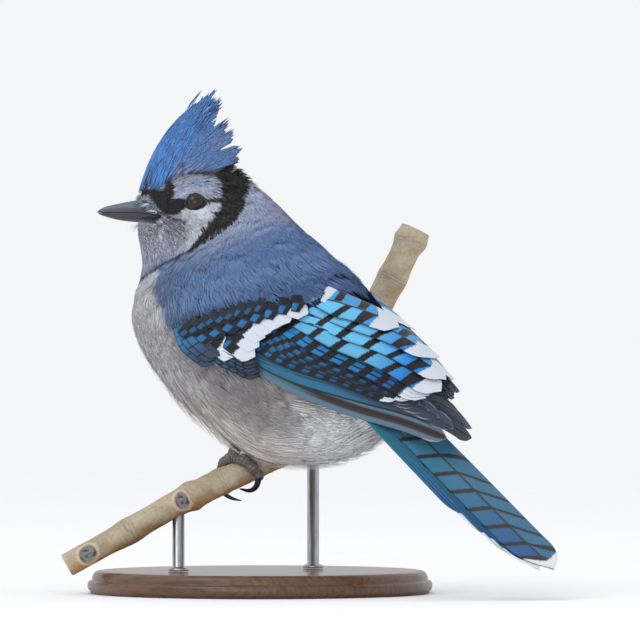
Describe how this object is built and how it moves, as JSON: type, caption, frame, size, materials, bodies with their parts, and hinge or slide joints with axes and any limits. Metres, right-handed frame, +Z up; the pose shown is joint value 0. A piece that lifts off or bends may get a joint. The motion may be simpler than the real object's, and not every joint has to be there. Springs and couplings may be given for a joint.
{
  "type": "blue jay model",
  "caption": "Life-size still model of a crested perching bird, head turned to its left, gripping a short cut branch that rods hold over a round base.",
  "frame": {"origin": "centre of the round base's underside, on the floor", "axes": "+Z up; the bird's body faces -X and its left side is -Y; its head is turned towards -Y"},
  "size_m": [0.2091, 0.1454, 0.1999],
  "materials": {
    "crown_feathers": "soft, matt feathers, blue crest over a white face with a black collar",
    "mantle_feathers": "soft, matt feathers, slate blue above and warm grey below",
    "wing_feathers": "smooth vanes with a slight sheen, azure with black bars and white tips",
    "tail_feathers": "smooth vanes with a slight sheen, blue with narrow black bars and white edges",
    "bill": "slate horn, satin",
    "eye": "very dark brown, wet gloss",
    "leg_scales": "dark grey scaled skin, satin",
    "bark": "pale tan bark with dark bud scars, matt",
    "stand_wood": "oiled dark wood, satin",
    "rod_steel": "brushed"
  },
  "bodies": {
    "root": {"head": "crown_feathers", "neck": "mantle_feathers", "torso": "mantle_feathers", "wing_left": "wing_feathers", "wing_right": "wing_feathers", "tail": "tail_feathers", "bill_upper": "bill", "bill_lower": "bill", "eye_left": "eye", "eye_right": "eye", "leg_left": "leg_scales", "leg_right": "leg_scales", "perch": "bark", "stand_base": "stand_wood", "stand_rod_front": "rod_steel", "stand_rod_back": "rod_steel"}
  },
  "joints": []
}
